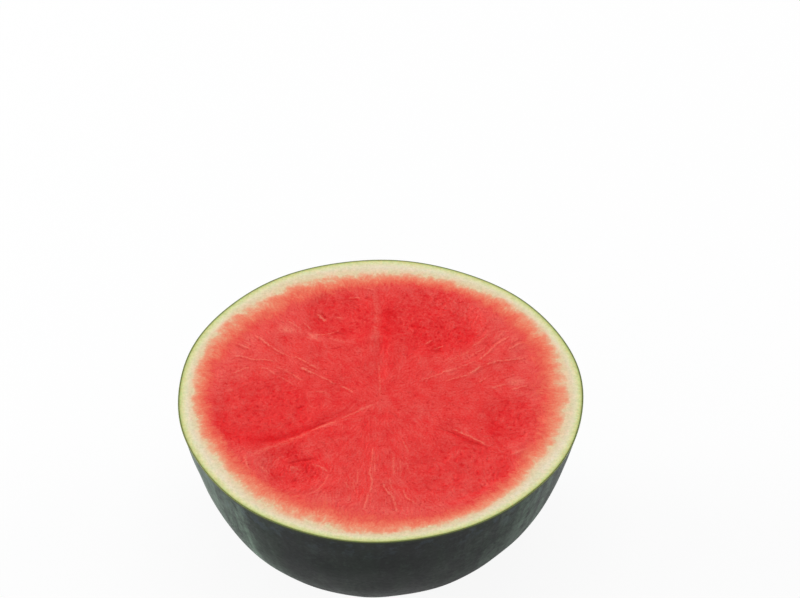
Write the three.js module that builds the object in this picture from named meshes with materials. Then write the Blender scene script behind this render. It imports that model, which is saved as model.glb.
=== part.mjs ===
// Half of a seedless, dark-skinned watermelon, cut across the fruit and set down on its stem end.
// One closed body, in millimetres, +Z up, with the cut face level and the origin at the bottom centre.
// The stem-to-blossom axis of the fruit runs along Z. The rind and the flesh grew together, so they are one solid.

import * as THREE from "three";

// Driving dimensions, in millimetres.
const fruit = {
  cutRadius: 109, // radius of the cut face
  height: 100.9, // from the flat that the half stands on up to the cut
  endDepth: 102.5, // from the cut down to where the fruit would end without that flat
  taper: 0.25, // share by which the fruit narrows from the cut to its end, apart from its rounding
  fullness: 3.9, // a higher power keeps the fruit wide for longer before it rounds off
  endDrift: -3.1, // sideways shift of the stem end against the middle of the cut
  driftPower: 3, // the shift grows with this power of the depth
};
const foot = {
  dimpleRadius: 12, // inner radius of the ring that the half stands on, where the stem dimple starts
  dimpleShoulder: 0.45, // height of the dimple halfway to the scar, as a share of the scar's height
  scarRadius: 7, // the dry scar that the stem left
  scarSink: 2.2, // how far the scar lies above the ground
  scarCrown: 0.6, // how much the middle of the scar bulges out of the dimple
  scarCore: 0.6, // radius of the point between rim and middle of the scar, as a share of its radius
};
const cutEdge = { bevel: 0.8 }; // the worn corner between skin and cut face

// Faint lobes round the fruit: how many, how high in millimetres, and where the first one lies.
const lobing = [
  { count: 2, height: 0.2, turn: 45 },
  { count: 3, height: 0.5, turn: 130 },
  { count: 10, height: 0.2, turn: 12 },
];

// The inner build of the fruit, seen on the cut face: three walls between the carpels, slightly proud vein bundles
// between the walls, and soft seed chambers that sink a little. Angles are in degrees, counted from +X towards +Y.
const wall = { angles: [90, 210, 330], from: 6, riseTo: 14, fadeFrom: 72, to: 84, height: -0.9, halfWidth: 4 };
const bundle = { angles: [30, 150, 270], from: 18, riseTo: 38, fadeFrom: 63, to: 88, height: 0.5, halfWidth: 9 };
const chambers = [
  { x: -20, y: 65, size: 22, sink: 1.0 },
  { x: 29, y: 63, size: 30, sink: 0.9 },
  { x: -64, y: -7, size: 31, sink: 1.0 },
  { x: -48, y: -52, size: 22, sink: 1.1 },
  { x: 45, y: -55, size: 31, sink: 0.8 },
  { x: 70, y: -15, size: 20, sink: 1.0 },
];
const firm = { from: 82, to: 92 }; // between these radii the relief fades: the rind is firm and stays flat

// Mesh density. The sides come in thirds, so that each wall lies along a line of the mesh.
const sides = 96;
const footRings = 2;
const skinRings = 20;
const faceRings = 17;

const degree = Math.PI / 180;
const onCut = 1e-6; // points this close to the cut plane belong to the cut face

// Radius of the fruit at a depth below the cut.
function skinRadius(depth) {
  const share = depth / fruit.endDepth;
  return fruit.cutRadius * (1 - fruit.taper * share) * Math.sqrt(1 - share ** fruit.fullness);
}

// The section of the half from the middle of the scar, round the skin and over the cut face to its middle.
// Heights are above the ground.
function halfSection() {
  const flatRadius = skinRadius(fruit.height);
  const points = [
    new THREE.Vector2(0, foot.scarSink - foot.scarCrown),
    new THREE.Vector2(foot.scarRadius * foot.scarCore, foot.scarSink - foot.scarCrown * foot.scarCore),
    new THREE.Vector2(foot.scarRadius, foot.scarSink),
    new THREE.Vector2((foot.scarRadius + foot.dimpleRadius) / 2, foot.scarSink * foot.dimpleShoulder),
  ];
  for (let i = 0; i <= footRings; i++) {
    points.push(new THREE.Vector2(THREE.MathUtils.lerp(foot.dimpleRadius, flatRadius, i / footRings), 0));
  }
  const lowTurn = Math.asin(fruit.height / fruit.endDepth);
  const highTurn = Math.asin(cutEdge.bevel / fruit.endDepth);
  for (let i = 1; i <= skinRings; i++) {
    const depth = fruit.endDepth * Math.sin(THREE.MathUtils.lerp(lowTurn, highTurn, i / skinRings));
    points.push(new THREE.Vector2(skinRadius(depth), fruit.height - depth));
  }
  for (let i = 0; i <= faceRings; i++) {
    points.push(new THREE.Vector2((fruit.cutRadius - cutEdge.bevel) * (1 - i / faceRings), fruit.height));
  }
  return points;
}

// Extra radius of the fruit at an angle, from its faint lobes.
function lobeHeight(angle) {
  return lobing.reduce((sum, lobe) => sum + lobe.height * Math.cos(lobe.count * (angle - lobe.turn * degree)), 0);
}

// Height at a point of the cut face that a set of straight ridges or valleys from the middle outwards gives it.
function rayRelief(rays, x, y) {
  const radius = Math.hypot(x, y);
  const along = THREE.MathUtils.smoothstep(radius, rays.from, rays.riseTo)
    * (1 - THREE.MathUtils.smoothstep(radius, rays.fadeFrom, rays.to));
  return rays.angles.reduce((sum, rayAngle) => {
    const turn = Math.atan2(y, x) - rayAngle * degree;
    const aside = Math.cos(turn) > 0 ? Math.abs(radius * Math.sin(turn)) : radius;
    return sum + rays.height * along * (1 - THREE.MathUtils.smoothstep(aside, 0, rays.halfWidth));
  }, 0);
}

// Height of the cut face above its own plane.
function faceRelief(x, y) {
  const sunk = chambers.reduce((sum, chamber) => {
    const share = Math.hypot(x - chamber.x, y - chamber.y) / chamber.size;
    return sum + chamber.sink * (1 - THREE.MathUtils.smoothstep(share, 0, 1));
  }, 0);
  const soft = 1 - THREE.MathUtils.smoothstep(Math.hypot(x, y), firm.from, firm.to);
  return soft * (rayRelief(wall, x, y) + rayRelief(bundle, x, y) - sunk);
}

// Turns the section round the axis, then gives the round body its lobes, its drift and the relief of the cut.
function halfGeometry() {
  const geometry = new THREE.LatheGeometry(halfSection(), sides).rotateX(Math.PI / 2);
  const position = geometry.getAttribute("position");
  for (let i = 0; i < position.count; i++) {
    const [x, y, z] = [position.getX(i), position.getY(i), position.getZ(i)];
    const stretch = 1 + lobeHeight(Math.atan2(y, x)) / fruit.cutRadius;
    const drift = fruit.endDrift * Math.max(0, (fruit.height - z) / fruit.endDepth) ** fruit.driftPower;
    const onFace = Math.abs(z - fruit.height) < onCut;
    const relief = onFace ? faceRelief(x, y) : 0;
    position.setXYZ(i, x * stretch + drift, y * stretch, z + relief);
  }
  geometry.computeBoundingBox();
  const { min, max } = geometry.boundingBox;
  geometry.translate(-(min.x + max.x) / 2, -(min.y + max.y) / 2, -min.z);
  geometry.computeVertexNormals();
  return geometry;
}

const skinMaterial = new THREE.MeshStandardMaterial({ color: 0x2c3a31, roughness: 0.38, metalness: 0 });

const halfWatermelon = new THREE.Mesh(halfGeometry(), skinMaterial);
halfWatermelon.name = "watermelon_half";

const watermelon = new THREE.Group();
watermelon.add(halfWatermelon);

export default watermelon;
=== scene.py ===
import math

import bpy
import numpy as np
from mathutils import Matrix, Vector


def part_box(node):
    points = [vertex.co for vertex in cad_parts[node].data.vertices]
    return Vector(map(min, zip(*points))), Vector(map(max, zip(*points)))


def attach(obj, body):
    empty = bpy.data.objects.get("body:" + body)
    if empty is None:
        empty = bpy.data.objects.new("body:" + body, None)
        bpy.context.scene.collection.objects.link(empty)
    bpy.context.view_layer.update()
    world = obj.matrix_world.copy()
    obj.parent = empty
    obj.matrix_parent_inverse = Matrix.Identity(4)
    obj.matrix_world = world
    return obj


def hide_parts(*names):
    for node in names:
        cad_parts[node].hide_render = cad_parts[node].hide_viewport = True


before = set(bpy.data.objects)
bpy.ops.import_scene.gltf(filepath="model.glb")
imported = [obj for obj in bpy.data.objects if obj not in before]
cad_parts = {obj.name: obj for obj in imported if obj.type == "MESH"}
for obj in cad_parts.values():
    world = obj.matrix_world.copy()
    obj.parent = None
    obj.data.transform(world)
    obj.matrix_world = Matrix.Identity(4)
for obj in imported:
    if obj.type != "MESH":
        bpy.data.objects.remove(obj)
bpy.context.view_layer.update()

# Half of a dark-skinned seedless watermelon, cut face up. The form is worked out in millimetres.
# A noise is given by its wave length, seed and number of waves.
mm = 0.001  # in metres
waveSpread = (0.7, 1.5)  # shares of the wave length between which the waves of one noise lie

fruit = {
    "cutRadius": 109,
    "height": 100.9,
    "endDepth": 102.5,  # from the cut down to where the fruit would end without its flat
    "taper": 0.25,
    "fullness": 3.9,  # a higher value keeps the flanks steep further down
    "endDrift": -3.1,  # the stem end sits a little to the left
    "driftPower": 3,
    "lobes": [(2, 0.2, 45), (3, 0.5, 130), (10, 0.2, 12)],  # count, height, turn in degrees
    "cornerRound": 0.35,  # worn corner between skin and cut face
    "waves": (26, 31, 40),  # gentle dents and swellings of the skin
    "waveHeight": 0.13,
    "waveFrom": (0.5, 12),  # depth below the cut over which they set in
}
foot = {
    "flatBlend": 0.2,  # softness where the flat ring begins
    "blendRadius": 40,
    "dimpleRadius": 12,
    "scarRadius": 7,
    "scarSink": 2.2,
    "scarCrown": 0.6,
    "scarTear": 0.35,  # roughness of the torn stem fibres
    "tears": (1.6, 32, 40),
    "tearEdge": 1.5,  # the torn surface fades out over this distance
}
meshing = {
    "sectors": 6,  # each ring has the same number of points in every sector
    "faceRings": 160,
    "skinSpacing": 2.6,
    "rimSpacing": 0.8,
    "rimBand": (2, 14),  # the mesh of the skin grows coarser between these distances from the cut
    "rowShare": 0.87,  # gap between rows as a share of the spacing, for even triangles
    "sectionSteps": 4000,  # for measuring along the section
    "cornerRings": 4,
    "snapReach": 0.36,  # share of the spacing within which points move onto a strand or crease
}
faceRadius = fruit["cutRadius"] - fruit["cornerRound"]


def smoothStep(value, low, high):
    share = np.clip((value - low) / (high - low), 0, 1)
    return share * share * (3 - 2 * share)


def waveNoise(points, waveLength, seed, waves):
    # Soft seeded noise round 0, with a deviation of 1: many sine waves in random directions.
    random = np.random.default_rng(seed)
    headings = random.normal(size=(waves, points.shape[1]))
    headings /= np.linalg.norm(headings, axis=1)[:, None]
    lengths = waveLength * random.uniform(*waveSpread, waves)
    phases = random.uniform(0, 2 * math.pi, waves)
    total = np.zeros(len(points))
    for heading, length, phase in zip(headings, lengths, phases):
        total += np.sin(points @ heading * (2 * math.pi / length) + phase)
    return total / math.sqrt(waves / 2)


def skinRadius(depth):
    # Radius of the fruit at a depth below the cut.
    share = np.clip(depth / fruit["endDepth"], 0, 1)
    return fruit["cutRadius"] * (1 - fruit["taper"] * share) * np.sqrt(1 - share ** fruit["fullness"])


# Inside of the fruit, seen on the cut face. Places are in millimetres from the middle of the flesh, +Y away
# from the viewer. Walls run outwards from the middle, with a bundle of veins halfway between them.
carpels = {
    "middle": (0.3, -0.9),  # the flesh grew round a place a little off the middle of the cut
    "count": 3,
    "wall": {"turn": 90, "height": -0.4, "halfWidth": 4, "from": (6, 20), "to": (64, 84)},
    "bundle": {"turn": 30, "height": 0.3, "halfWidth": 9, "from": (18, 43), "to": (68, 88)},
    "fanWidth": 21,  # degrees of the paler fan round each bundle
    "fanFrom": (22, 85),  # radii between which it sets in
    "firmFrom": (86, 92),  # outside this radius the face is flat and firm
    "chamberRim": (0.55, 1.15),  # the floor of a chamber rises between these shares of its radii
    "chamberRedTo": 1.12,
    "chamberSwirlTo": 1.15,
}
# Soft seed chambers. Each sinks and is redder, its red fades out from a share of its radii, its fibres curl
# or run every way, and the texture of its flesh is stronger or weaker.
chamberFields = ("centre", "radii", "sink", "red", "fade", "swirl", "texture")
chambers = [dict(zip(chamberFields, row)) for row in [
    ((-20, 65), (18.5, 20.5), 0.6, 0.12, 0.85, 0.9, 0.92),
    ((29, 63), (27, 28), 0.5, 0.15, 0.8, 0.0, 1.15),
    ((-64, -7), (30, 26), 0.55, 0.10, 0.85, 0.0, 0.8),
    ((-47, -51), (19, 19), 0.7, 0.12, 0.4, 0.8, 1.25),
    ((45, -55), (31, 27), 0.45, 0.03, 0.85, 0.0, 0.8),
    ((70, -15), (16.5, 20), 0.55, 0.11, 0.7, 0.6, 0.9),
]]
# Redder (minus) and paler (plus) places: x, y, radius along, radius across, turn, amount.
tonePatches = [
    (3.5, 58, 21, 3.5, 90, -0.34),
    (47, 47, 6, 6, 0, -0.22),
    (31, 42, 8, 5, 0, -0.12),
    (22, 52, 5, 5, 0, -0.08),
    (-63, -29, 15, 4, 0, -0.34),
    (-42, -22.5, 9, 2.6, 30, -0.34),
    (-84, -20, 12, 6, 110, -0.26),
    (-76, -31, 8, 5, 150, -0.12),
    (-26, -10, 22, 24, 0, -0.09),
    (44, 73, 13, 10, 0, 0.10),
    (-63, -54, 6, 12, 20, 0.14),
    (76, -37, 8, 9, 0, 0.11),
    (78, 3, 6, 6, 0, 0.10),
    (-59, -44, 6, 5, 0, 0.12),
    (-32, -76, 8, 6, 0, 0.17),
    (21, -75, 11, 6, 0, -0.07),
    (-47, -38, 7, 4, 0, -0.16),
    (-39, -49, 6, 4, 90, -0.20),
    (-55, -58, 9, 5, 130, -0.16),
    (-47, -53, 4, 4, 0, 0.20),
    (-37, -37, 7, 4, 10, 0.17),
    (66, -54, 13, 4.5, 75, -0.26),
    (51, -71, 8, 5, 20, -0.14),
    (60, -22, 5, 4.5, 0, -0.18),
    (45, -29, 15, 2.2, 149, -0.20),
    (-49, 55.6, 5, 4, 0, 0.46),
    (-35.5, 49.3, 5, 2.6, 150, 0.42),
    (-24, 47, 7, 2.5, 0, 0.16),
    (72, 14, 4.5, 3, 15, 0.52),
    (36, 22, 6, 2.5, 28, 0.16),
    (24, -9, 5, 5, 0, 0.14),
    (-1, 2, 8, 7, 0, 0.10),
    (-22, 65, 6, 3, 0, 0.14),
    (-12, -9, 16, 2.5, 35, 0.16),
    (-3, 60, 26, 2.2, 90, 0.09),
    (15, 75, 8, 6, 0, 0.10),
    (45, -15, 8, 5, 0, -0.06),
    (-60, -50, 6, 9, 0, 0.05),
    (-46, 67, 8, 9, 0, 0.06),
    (-34, -2, 8, 8, 0, 0.06),
    (-46, -14, 6, 5, 0, 0.05),
    (62, -61, 6, 8, 0, -0.05),
    (0, 15, 9, 6, 0, -0.04),
]
# Thin pale strands: width, strength, path.
strands = [
    # right fan
    (0.8, 0.45, [(21, 16), (26, 17.8), (32, 20.5), (37, 23)]),
    (1.1, 1.0, [(32, 20.5), (36, 22.5), (41.5, 25)]),
    (0.8, 0.4, [(41, 25), (47, 28), (52, 31)]),
    (0.9, 0.75, [(52, 30.5), (55, 33.5), (57.5, 36.5), (61, 41.5)]),
    (0.9, 0.8, [(60, 40.5), (63, 44.2), (66, 47), (70, 50.5)]),
    (0.8, 0.65, [(34.5, 14.8), (40, 17), (44, 18.5), (48.5, 20.8)]),
    (1.0, 1.0, [(46.5, 20), (50, 22.5), (52, 24.5), (55, 26.8)]),
    (0.9, 0.7, [(54, 26.2), (59, 28.5), (62.5, 30.2), (67, 30.8), (72, 31.8), (76, 33), (80, 36.2)]),
    (0.8, 0.5, [(48, 33.4), (51, 36.4), (54, 39), (57.5, 41.4)]),
    (1.2, 0.45, [(48.5, 41), (52.5, 44.8), (56.5, 49), (59, 54)]),
    (1.6, 0.3, [(33, 30.5), (39, 32.5), (45, 36), (51, 41)]),
    (0.9, 0.3, [(36, 28), (42, 30.6), (47, 33.8)]),
    (0.9, 0.75, [(69, 39.6), (73, 43), (76, 44.4), (80.5, 45.6)]),
    (0.8, 0.6, [(52, 14), (54.5, 15.6), (57, 18)]),
    (0.8, 0.6, [(58.5, 9.6), (63.5, 11.6), (68.5, 12.6)]),
    (0.8, 0.7, [(68.5, 8.6), (74, 10), (79.5, 12.4)]),
    (0.9, 0.5, [(80, 3), (82.5, 5.5), (85.5, 9)]),
    (0.8, 0.55, [(28.5, 40.3), (31.5, 41.6), (35, 43)]),
    (0.9, 0.6, [(24, 44.8), (26, 46), (28, 47.6)]),
    # left fan
    (0.9, 0.9, [(-68.5, 51.5), (-64, 47.5), (-61, 44), (-57, 40.2)]),
    (0.9, 0.6, [(-58.5, 41.4), (-55, 38.5), (-52, 36), (-49, 33.6)]),
    (1.0, 0.8, [(-49.5, 33.8), (-45.5, 33.6), (-41, 30.4), (-36, 26.2), (-33, 25.1), (-30.5, 25.3)]),
    (1.1, 1.0, [(-43.5, 26), (-40, 23.6), (-37, 21.5), (-33.5, 19.3)]),
    (0.8, 0.65, [(-36, 20.6), (-32, 18.5), (-28, 15.6), (-24, 12)]),
    (0.9, 0.5, [(-86.5, 42.5), (-82, 45), (-78.5, 45.2), (-74.5, 43.2)]),
    (0.9, 0.9, [(-77, 44.6), (-73.5, 42.4), (-69.5, 40)]),
    (0.8, 0.5, [(-74, 46.8), (-71.5, 44.8), (-69, 42.8)]),
    (0.9, 0.7, [(-82, 34.6), (-76, 34.5), (-72, 33.2), (-68, 31.8), (-63, 32), (-59, 31), (-54, 30.2)]),
    (0.9, 0.5, [(-80.5, 21), (-76, 23.5), (-73, 25.3), (-68.5, 26)]),
    (0.9, 0.65, [(-66.5, 25.7), (-62, 25.3), (-59.5, 23.5), (-56, 20)]),
    (1.0, 0.4, [(-58, 27), (-54, 24.8), (-50, 22.6), (-46, 19.6)]),
    (0.9, 0.65, [(-48, 20.8), (-45.5, 19), (-42, 15.4)]),
    (0.8, 0.35, [(-56, 20), (-51, 16.5), (-46, 12)]),
    (1.0, 0.75, [(-22, 11.6), (-19, 10), (-16.5, 8.2), (-14, 5.6)]),
    (0.9, 0.4, [(-38, 6.8), (-33, 7.2), (-28, 6.3)]),
    (0.8, 0.6, [(-51, 62.7), (-47.5, 60), (-45, 57.5), (-42, 54.6)]),
    (0.8, 0.55, [(-42, 60.5), (-39.5, 57.8), (-37, 54.4)]),
    (0.9, 0.55, [(-36.5, 51.3), (-31.5, 51.2), (-27, 52.3), (-23.5, 54.2), (-21.5, 57)]),
    (1.5, 0.3, [(-29, 49), (-23, 47), (-17, 45)]),
    # fan towards the front
    (0.9, 0.5, [(-4, -35), (-4.4, -43), (-5.2, -51)]),
    (0.9, 0.65, [(-5, -49), (-5.8, -56), (-4.5, -61), (-5, -67), (-6.2, -72)]),
    (0.9, 0.65, [(-5.8, -70), (-7.2, -75), (-8.2, -79.5), (-9.4, -84)]),
    (0.8, 0.35, [(-3.4, -39), (-3.1, -49), (-2.7, -58)]),
    (0.9, 0.75, [(0.3, -59), (1.5, -64), (3.5, -69), (6, -73), (7.6, -77.5), (8.2, -82), (9.6, -87)]),
    (0.8, 0.7, [(12, -67), (13.2, -73), (15.7, -76.2), (19.5, -80)]),
    (1.0, 0.5, [(6.8, -41), (7, -50), (7.4, -59)]),
    (0.8, 0.35, [(10.4, -45), (10.8, -51), (11.2, -58)]),
    (0.8, 0.35, [(14.4, -47), (15, -53), (17, -57)]),
    (0.8, 0.35, [(4.8, -59), (5.6, -64), (6.4, -70)]),
    (0.8, 0.4, [(-19.6, -60.5), (-18, -63.5), (-16.5, -66.5)]),
    (0.8, 0.35, [(-15.4, -60), (-14.4, -64.5), (-13.8, -70)]),
    (0.8, 0.35, [(-12.5, -51), (-12, -58), (-13, -65)]),
    (0.9, 0.4, [(11.5, -30), (13.5, -35), (15.5, -40)]),
    # round the curled chambers
    (1.0, 0.9, [(-11, 88.2), (-7, 87.7), (-2.5, 85.7)]),
    (0.9, 0.7, [(-17.5, 80), (-14.5, 80.6), (-10, 80.3)]),
    (1.2, 0.9, [(-34, 67.6), (-32, 65), (-28.8, 61.8)]),
    (1.0, 0.6, [(-24, 65.2), (-22, 65), (-19.6, 64)]),
    (1.1, 0.9, [(-72.8, -40.5), (-72.4, -45), (-71, -50.5), (-69, -56)]),
    (0.9, 0.5, [(-37.5, -47.5), (-33.5, -48.8), (-30.5, -50.8), (-27.6, -54.8)]),
    (0.9, 0.45, [(-28.2, -56.5), (-30, -62.5), (-32.2, -66.4), (-35.5, -69.8), (-40, -71.4)]),
    (1.0, 0.75, [(-64, -49.6), (-62, -52.4), (-59.6, -55.6)]),
    (1.2, 0.45, [(-48.5, -49.5), (-45.5, -51), (-42, -53)]),
    (1.2, 1.0, [(70, -41.6), (75, -38.8), (79, -36.6), (82.5, -32.6), (85.5, -29)]),
    # walls
    (1.0, 0.75, [(37, -20), (43, -23.4), (50, -28.4), (59, -35)]),
    (0.9, 0.45, [(-2, -1.5), (-14, -9), (-24, -15.5)]),
    (1.2, 0.75, [(-22.5, -14.6), (-30, -18.5), (-40, -25)]),
    (2.6, 0.34, [(-35, -22), (-44, -27.5), (-53, -32.5), (-62, -37.5), (-71, -42.5)]),
    (1.0, 0.4, [(-57, -35), (-62, -37.8), (-68, -41.5)]),
    (2.2, 0.2, [(-2, 88), (-2.6, 76), (-2, 68), (-2.3, 58), (-1.7, 48), (-2.1, 38)]),
    (0.8, 0.4, [(-1.2, 31), (-0.5, 22), (-0.3, 14), (0, 3)]),
]
# Fine folds and cracks, and the soft grooves round the curled chambers, sunk a little and painted dark red
# along them as painted shade: width, strength, path.
creases = [
    (1.1, 1.0, [(30.5, -19.6), (36, -22.6), (41, -25.6), (46, -29), (52, -32.8), (59, -35.8)]),
    (1.0, 0.6, [(43, -30), (47, -32), (53.5, -34.6)]),
    (1.5, 1.0, [(-28, -15.5), (-33.5, -18.2), (-38, -21.2), (-43, -24.2)]),
    (2.2, 0.6, [(-38, -22), (-45, -25), (-52, -27), (-60, -29.6), (-66, -30.5)]),
    (1.1, 1.0, [(-51, -47), (-46.5, -46), (-43, -44.8), (-39.5, -44.2), (-36.5, -43.4), (-33, -45)]),
    (1.4, 0.4, [(-63.6, -44.5), (-62.8, -48), (-60.8, -50.6)]),
    (1.9, 0.45, [(-41, -49.5), (-39.6, -52), (-39.4, -55)]),
    (1.4, 0.35, [(-38.5, -54.5), (-36.5, -57.5), (-35, -60.5)]),
    (2.2, 0.4, [(-57.5, -56.8), (-54.5, -58), (-51, -59.2)]),
    (1.7, 0.35, [(-48, -61), (-45.4, -60), (-44.4, -57.6)]),
    (2.6, 0.42, [(-71, -48), (-69, -55), (-65, -61.5), (-59.5, -66.4),
                 (-52, -69.4), (-44, -69.8), (-37, -68), (-31, -62)]),
    (2.6, 0.36, [(-40.5, 66), (-37.5, 74), (-33, 79.5), (-27, 84), (-20, 86.6), (-12, 87.4), (-4, 86)]),
    (2.8, 0.42, [(80.5, -1), (84, -9), (85, -16), (84.5, -23), (82, -29), (78, -34), (71, -38)]),
    (0.9, 0.4, [(-28.2, -25.6), (-25.6, -29.4), (-23.6, -33), (-20.5, -37.5)]),
    (0.9, 0.35, [(-31, -31), (-29.5, -34.5), (-27, -37.5)]),
    (0.9, 0.3, [(-34.5, -33), (-33.5, -36.5), (-31, -40)]),
    (1.1, 1.0, [(-32.2, 68.2), (-30.5, 66.6), (-28, 64)]),
    (0.8, 0.7, [(-28, 40), (-24, 40.6), (-20.5, 41.7), (-18.5, 42.4)]),
    (0.9, 0.6, [(-24, 53.6), (-20.5, 52.6), (-18.5, 52.8)]),
    (1.0, 0.6, [(-78, 43.4), (-75, 41), (-72, 39.5)]),
    (1.2, 0.8, [(27, 40), (30, 38.4), (35, 38.4)]),
    (1.1, 0.7, [(27.5, 43), (30, 41.6), (32, 40)]),
    (1.0, 0.6, [(40.5, 47.5), (43.5, 46), (46.5, 45.2)]),
    (1.0, 0.6, [(49.5, 52.2), (51.5, 50.6), (53.5, 49.8)]),
    (1.2, 0.7, [(1.6, 58), (3.6, 55.6), (5.4, 53.4)]),
    (1.1, 0.6, [(17, 39), (19, 41.2), (21.5, 42.8)]),
    (0.8, 0.5, [(4, -7.5), (7.5, -10.5), (10.5, -15)]),
    (1.0, 0.6, [(23.6, -63.6), (25.4, -66.8), (28.6, -69.4)]),
    (0.7, 0.6, [(59.4, 42.6), (63.5, 46.8), (67.5, 51)]),
    (0.8, 0.6, [(69.5, 42.4), (73, 45.4), (77.5, 47)]),
    (0.8, 0.5, [(66, 16.6), (69.5, 18.4), (73, 20)]),
]
flesh = {
    "strandHeight": 0.1,
    "strandHalfWidth": 0.7,
    "creaseDepth": 0.16,
    "lineReach": 3.0,  # how far to either side a line is felt
    "lineEnds": [(-0.02, 0.22), (-0.02, 0.25)],  # shares of its length over which a line fades in and out
    "snapEnds": 0.02,
    "wavering": [(16, (16, 41, 24)), (13, (6, 42, 24))],  # turn in degrees, noise
    "crumbling": (60, (8, 43, 24)),  # the same in chambers without a swirl, where the flesh runs every way
    "flowStep": 0.9,
    "fibres": (1.9, 11, 40),
    "fibreReach": 4,  # steps that a fibre is drawn out each way
    "fibreHeight": 0.027,
    "veins": (2.0, 12, 40),
    "veinReach": 11,
    "veinHeight": 0.06,
    "veinFrom": (1.0, 2.2),  # only the highest part of the noise is a vein
    "veinOutside": 0.25,  # how strong veins are away from the fans
    "veinFan": 1.5,  # a higher value widens the part with strong veins
    "grain": (2.0, 21, 90),
    "grainHeight": 0.02,
    "grainInChamber": 0.032,
    "crumbs": (4.2, 24, 60),
    "crumbFrom": (0.6, 1.8),
    "crumbDepth": 0.12,
    "crumbRed": 0.24,
    "swells": (17, 22, 40),
    "swellHeight": 0.1,
    "tone": 0.52,
    "drift": (9, 23, 40),
    "toneDrift": 0.05,
    "fanPaleness": 0.12,
    "edgePaleness": 0.16,
    "paleEdge": (70, 90),  # radii between which the red grows paler
}
# The red ends and the pale rind starts closer to the skin between the walls than at them.
rind = {
    "redTo": (87.2, 3.4, 58),  # radius, swing, turn in degrees
    "paleFrom": (100.9, 1.6, 32),
    "notches": [(10, 6, 1.9), (91, 9, 1.2)],  # where the pale part reaches in: degrees, width, reach
    "limits": (-1, 2),  # of the share, which is 0 where the red ends and 1 where the pale part starts
}
# Waxy bloom on the skin, partly painted sheen: the paler bands and patches on the flanks seen from the front
# mostly paint the soft sheen of the side lights and the floor. Round the fruit 0 degrees is the front, and
# degrees count up towards the right.
bloomAndPaintedSheen = {
    # from and to in degrees, softness of the edges, amount
    "bands": [
        (-80, -42, 1.5, 0.30),
        (-80, -64, 1.5, 0.15),
        (-60, -56, 1.2, 0.15),
        (-55.5, -50, 1.5, -0.07),
        (-47, -43, 1.5, 0.07),
        (24, 37, 4, 0.05),
        (37, 72, 1.5, 0.14),
        (46, 54, 2, 0.21),
        (56.5, 60, 0.8, 0.34),
        (96, 131, 3, 0.13),
        (150, 168, 4, 0.08),
        (200, 232, 3, 0.12),
    ],
    # patches, mostly painted sheen low on the flanks: degrees, depth below the cut, size, amount
    "patches": [
        (-40, 54, 17, 0.12),
        (-24, 66, 15, 0.1),
        (-42, 66, 12, 0.42),
        (-47, 30, 10, 0.05),
        (36, 46, 9, 0.1),
        (60, 40, 12, 0.05),
        (140, 50, 22, 0.12),
    ],
    "lowFade": (62, 98),  # it thins out over these depths
    "lowLoss": 0.7,
}


def roundedPath(points, steps=6):
    # A smooth curve through the given points (Catmull-Rom).
    points = np.array(points, float)
    ends = np.vstack([2 * points[0] - points[1], points, 2 * points[-1] - points[-2]])
    curve = []
    for i in range(len(points) - 1):
        a, b, c, d = ends[i:i + 4]
        for t in np.arange(steps) / steps:
            curve.append(0.5 * (2 * b + (c - a) * t + (2 * a - 5 * b + 4 * c - d) * t**2
                                + (3 * b - a - 3 * c + d) * t**3))
    curve.append(points[-1])
    return np.array(curve)


def nearestOnPath(place, path):
    # Signed distance to the path, share of the way along it, and the nearest point on it.
    start, step = path[:-1], np.diff(path, axis=0)
    lengths = np.linalg.norm(step, axis=1)
    away = place[:, None] - start[None]
    share = np.clip((away * step).sum(2) / lengths**2, 0, 1)
    foots = start + share[..., None] * step
    gaps = np.linalg.norm(place[:, None] - foots, axis=2)
    best = gaps.argmin(1)
    rows = np.arange(len(place))
    side = np.sign(step[best, 0] * away[rows, best, 1] - step[best, 1] * away[rows, best, 0])
    walked = np.concatenate([[0], lengths.cumsum()])[best] + share[rows, best] * lengths[best]
    return gaps[rows, best] * side, walked / lengths.sum(), foots[rows, best]


def pointsNear(place, path, reach):
    return ((place > path.min(0) - reach) & (place < path.max(0) + reach)).all(1).nonzero()[0]


def drawLines(place, lines):
    # The nearest line of each point of the face: signed distance, strength and width.
    reach = flesh["lineReach"]
    fadeIn, fadeOut = flesh["lineEnds"]
    offset = np.full(len(place), reach)
    strength = np.zeros(len(place))
    width = np.ones(len(place))
    for lineWidth, lineStrength, points in lines:
        path = roundedPath(points)
        near = pointsNear(place, path, reach)
        gap, along, _ = nearestOnPath(place[near], path)
        closer = np.abs(gap) < np.abs(offset[near])
        near, gap, along = near[closer], gap[closer], along[closer]
        taper = smoothStep(along, *fadeIn) * smoothStep(1 - along, *fadeOut)
        offset[near] = gap
        strength[near] = lineStrength * taper * smoothStep(reach - np.abs(gap), 0, 1)
        width[near] = lineWidth
    return offset, strength, width


def snapToLines(place, lines, reach):
    # Mesh points next to a crease or strand move onto it, so that its ridge or valley is crisp.
    for _, _, points in lines:
        path = roundedPath(points)
        near = pointsNear(place, path, reach)
        gap, along, foots = nearestOnPath(place[near], path)
        onLine = (np.abs(gap) < reach) & (along > flesh["snapEnds"]) & (along < 1 - flesh["snapEnds"])
        place[near[onLine]] = foots[onLine]


def ellipseReach(place, centre, radii, turn=0):
    # 0 at the middle of an ellipse, 1 on its edge.
    away = place - np.array(centre)
    c, s = math.cos(math.radians(turn)), math.sin(math.radians(turn))
    along, across = away @ (c, s), away @ (-s, c)
    return np.hypot(along / radii[0], across / radii[1])


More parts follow.
